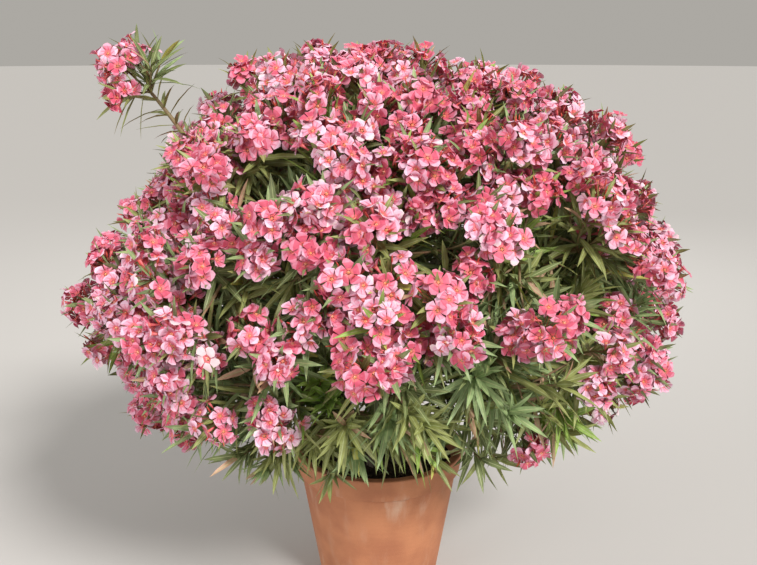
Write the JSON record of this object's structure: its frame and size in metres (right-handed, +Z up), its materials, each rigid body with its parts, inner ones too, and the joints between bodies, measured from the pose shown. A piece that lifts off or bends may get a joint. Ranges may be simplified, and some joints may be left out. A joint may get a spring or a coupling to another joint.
{
  "type": "potted oleander",
  "caption": "Broad flowering shrub with several stems, whorled narrow leaves and dense heads of pink five-petalled flowers, standing in a plain round clay pot.",
  "frame": {"origin": "centre of the pot's flat underside, on the surface that the pot stands on", "axes": "+Z up along the pot's axis; the pictured side faces -Y, with +X to its right"},
  "size_m": [1.6368, 1.4412, 1.5711],
  "materials": {
    "terracotta": "matt fired clay",
    "soil": "rough crumbly soil",
    "bark": "smooth grey-brown bark",
    "young_bark": "green-grey young bark",
    "leaves": "satin leaf",
    "blossom": "soft petal"
  },
  "bodies": {
    "root": {"pot": "terracotta", "potting_soil": "soil", "stem_1": "bark", "stem_2": "bark", "stem_3": "bark", "stem_4": "bark", "stem_5": "bark", "stem_6": "bark", "bough_01": "young_bark", "bough_02": "young_bark", "bough_03": "young_bark", "bough_04": "young_bark", "bough_05": "young_bark", "bough_06": "young_bark", "bough_07": "young_bark", "bough_08": "young_bark", "bough_09": "young_bark", "bough_10": "young_bark", "bough_11": "young_bark", "bough_12": "young_bark", "bough_13": "young_bark", "bough_14": "young_bark", "bough_15": "young_bark", "bough_16": "young_bark", "bough_17": "young_bark", "bough_18": "young_bark", "bough_19": "young_bark", "bough_20": "young_bark", "bough_21": "young_bark", "bough_22": "young_bark", "bough_stray": "young_bark", "foliage_01": "leaves", "foliage_02": "leaves", "foliage_03": "leaves", "foliage_04": "leaves", "foliage_05": "leaves", "foliage_06": "leaves", "foliage_07": "leaves", "foliage_08": "leaves", "foliage_09": "leaves", "foliage_10": "leaves", "foliage_11": "leaves", "foliage_12": "leaves", "foliage_13": "leaves", "foliage_14": "leaves", "foliage_15": "leaves", "foliage_16": "leaves", "foliage_17": "leaves", "foliage_18": "leaves", "foliage_19": "leaves", "foliage_20": "leaves", "foliage_21": "leaves", "foliage_22": "leaves", "foliage_stray": "leaves"}
  },
  "joints": []
}
